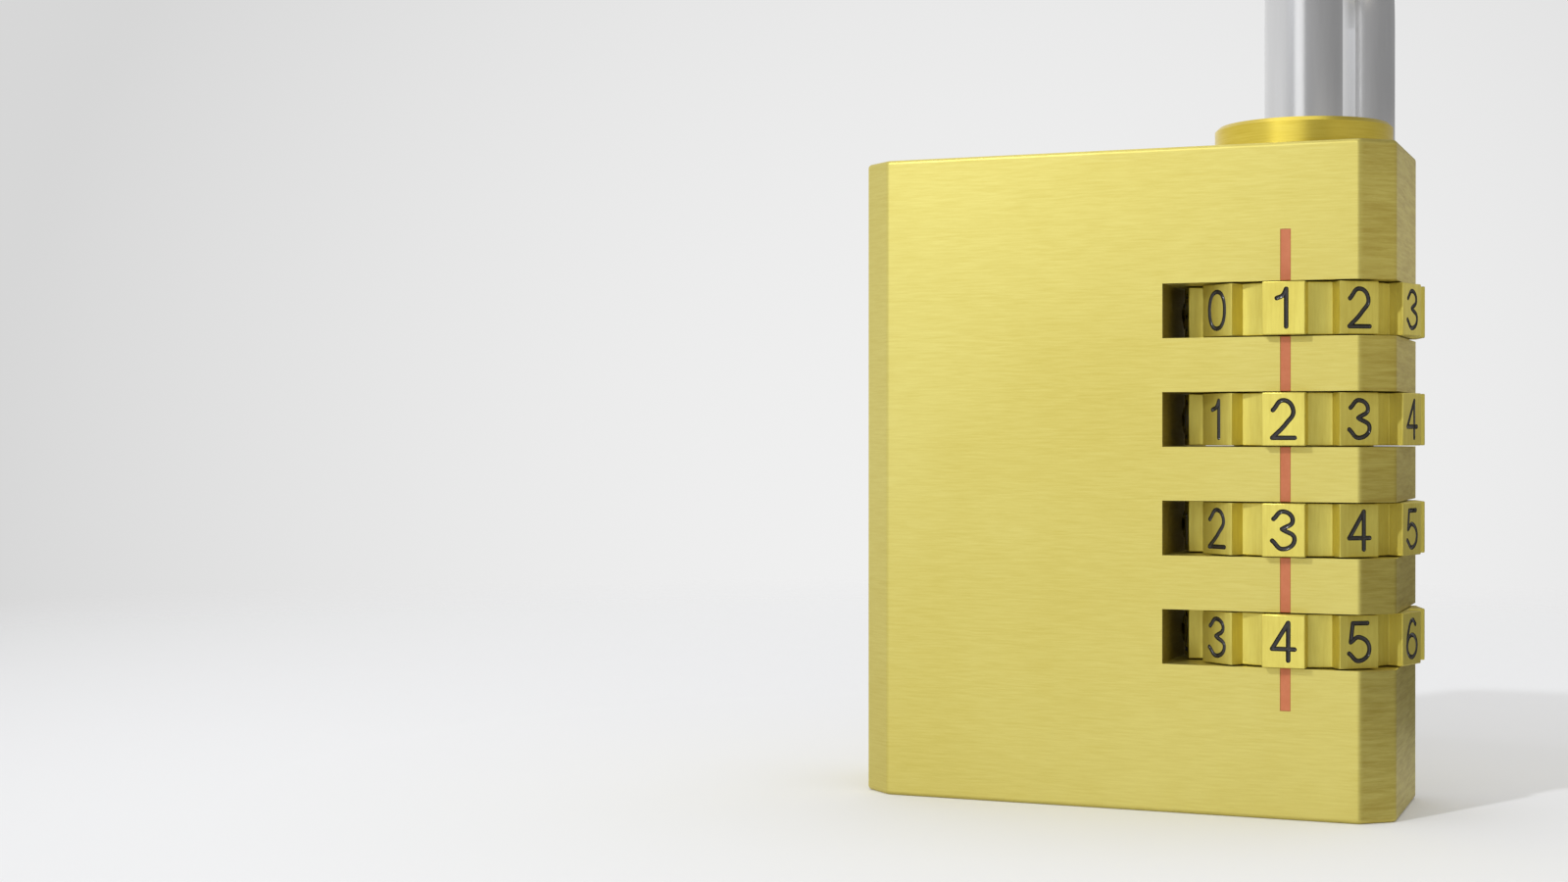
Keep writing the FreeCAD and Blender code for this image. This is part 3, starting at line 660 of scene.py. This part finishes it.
def shade_ramp(tree, value, stops):
    """A colour that follows a value through its stops, each a (value, grey or colour) pair."""
    low, high = stops[0][0], stops[-1][0]
    ramp = node(tree, "ShaderNodeValToRGB")
    while len(ramp.color_ramp.elements) < len(stops):
        ramp.color_ramp.elements.new(0.5)
    for stop, (at, shade) in zip(ramp.color_ramp.elements, stops):
        stop.position = (at - low) / (high - low)
        stop.color = (*(shade if isinstance(shade, tuple) else (shade,) * 3), 1.0)
    tree.links.new(spread(tree, value, low, high, 0.0, 1.0), ramp.inputs["Fac"])
    return ramp.outputs["Color"]


def glow(tree, way, stops):
    """A background whose shade follows how near a direction is to one way."""
    place = node(tree, "ShaderNodeTexCoord")
    near = node(tree, "ShaderNodeVectorMath", operation="DOT_PRODUCT")
    near.inputs[1].default_value = Vector(way).normalized()
    tree.links.new(place.outputs["Generated"], near.inputs[0])
    lit = node(tree, "ShaderNodeBackground", Strength=1.0)
    tree.links.new(shade_ramp(tree, near.outputs["Value"], stops), lit.inputs["Color"])
    return lit


world = bpy.data.worlds.new("backdrop")
bpy.context.scene.world = world
world.use_nodes = True
tree = world.node_tree
ambient = tree.nodes["Background"]
ambient.inputs["Color"].default_value = (1.0, 1.0, 1.0, 1.0)
ambient.inputs["Strength"].default_value = AMBIENT
rays = node(tree, "ShaderNodeLightPath")
last = ambient.outputs[0]
for ray, lit in (
    ("Is Glossy Ray", glow(tree, ROOM_WAY, ROOM_STOPS)),
    ("Is Camera Ray", glow(tree, BRIGHTEST_WAY, BACKDROP_STOPS)),
):
    choice = node(tree, "ShaderNodeMixShader")
    tree.links.new(rays.outputs[ray], choice.inputs[0])
    tree.links.new(last, choice.inputs[1])
    tree.links.new(lit.outputs[0], choice.inputs[2])
    last = choice.outputs[0]
tree.links.new(last, tree.nodes["World Output"].inputs["Surface"])

shape = bmesh.new()
bmesh.ops.create_circle(shape, cap_ends=True, segments=PAPER_SIDES, radius=PAPER_RADIUS)
floor = bmesh_object("floor", shape)
paper = bpy.data.materials.new("paper")
paper.use_nodes = True
tree = paper.node_tree
shader = tree.nodes["Principled BSDF"]
shader.inputs["Base Color"].default_value = (*PAPER, 1.0)
shader.inputs["Roughness"].default_value = PAPER_ROUGHNESS
place = node(tree, "ShaderNodeTexCoord")
reach = node(tree, "ShaderNodeVectorMath", operation="LENGTH")
tree.links.new(place.outputs["Object"], reach.inputs[0])
tree.links.new(spread(tree, reach.outputs["Value"], *PAPER_FADE, 1.0, 0.0), shader.inputs["Alpha"])
floor.data.materials.append(paper)

shape = bmesh.new()
spot = CARD_MIDDLE + Matrix.Rotation(CARD_START, 3, "Z") @ Vector((CARD_RADIUS, 0, 0))
foot = shape.verts.new(spot)
head = shape.verts.new(spot + Vector((0, 0, CARD_HEIGHT)))
rod = shape.edges.new((foot, head))
bmesh.ops.spin(
    shape, geom=[foot, head, rod], cent=CARD_MIDDLE, axis=(0, 0, 1), angle=CARD_TURN, steps=CARD_STEPS
)
card = bmesh_object("grey_card", shape)
grey = bpy.data.materials.new("grey_card")
grey.use_nodes = True
tree = grey.node_tree
tree.nodes.remove(tree.nodes["Principled BSDF"])
glowing = node(tree, "ShaderNodeEmission")
across = object_axes(tree)
tree.links.new(shade_ramp(tree, across["Z"], CARD_STOPS), glowing.inputs["Color"])
tree.links.new(spread(tree, across["Y"], *CARD_DEEP, *CARD_SHARE), glowing.inputs["Strength"])
tree.links.new(glowing.outputs[0], tree.nodes["Material Output"].inputs["Surface"])
card.data.materials.append(grey)
card.visible_camera = False
card.visible_shadow = False
card.visible_diffuse = False


def area_light(name, way, distance, size, power, colour=(1.0, 1.0, 1.0)):
    """A soft square studio light that looks at the lock from a direction."""
    lamp = bpy.data.lights.new(name, "AREA")
    lamp.shape = "SQUARE"
    lamp.size = size
    lamp.energy = power
    lamp.color = colour
    made = bpy.data.objects.new(name, lamp)
    bpy.context.scene.collection.objects.link(made)
    made.location = Vector(way).normalized() * distance + AIM
    made.rotation_euler = Vector(way).to_track_quat("Z", "Y").to_euler()


area_light("key", KEY_WAY, distance=1.00, size=0.04, power=3.2, colour=KEY_COLOUR)
area_light("fill", FILL_WAY, distance=0.60, size=0.28, power=0.21)
area_light("overhead", OVERHEAD_WAY, distance=0.60, size=0.45, power=0.6)


# The camera stands where the photograph was taken from, level with the lock's middle and to its right.
# It looks past the lock's left side, so that the lock is in the right half of the frame.
CAMERA_PLACE = (40.07 * MM, -170.50 * MM, 27.62 * MM)
CAMERA_WAY = (-0.3775, 0.926, -0.0029)
CAMERA_LENS = 51.66
CAMERA_FILM = 36.0

camera = bpy.data.objects.new("camera", bpy.data.cameras.new("camera"))
bpy.context.scene.collection.objects.link(camera)
camera.location = CAMERA_PLACE
camera.rotation_euler = Vector(CAMERA_WAY).to_track_quat("-Z", "Y").to_euler()
camera.data.sensor_width = CAMERA_FILM
camera.data.lens = CAMERA_LENS
camera.data.clip_start = 0.01
bpy.context.scene.camera = camera
bpy.context.scene.view_settings.view_transform = "Standard"
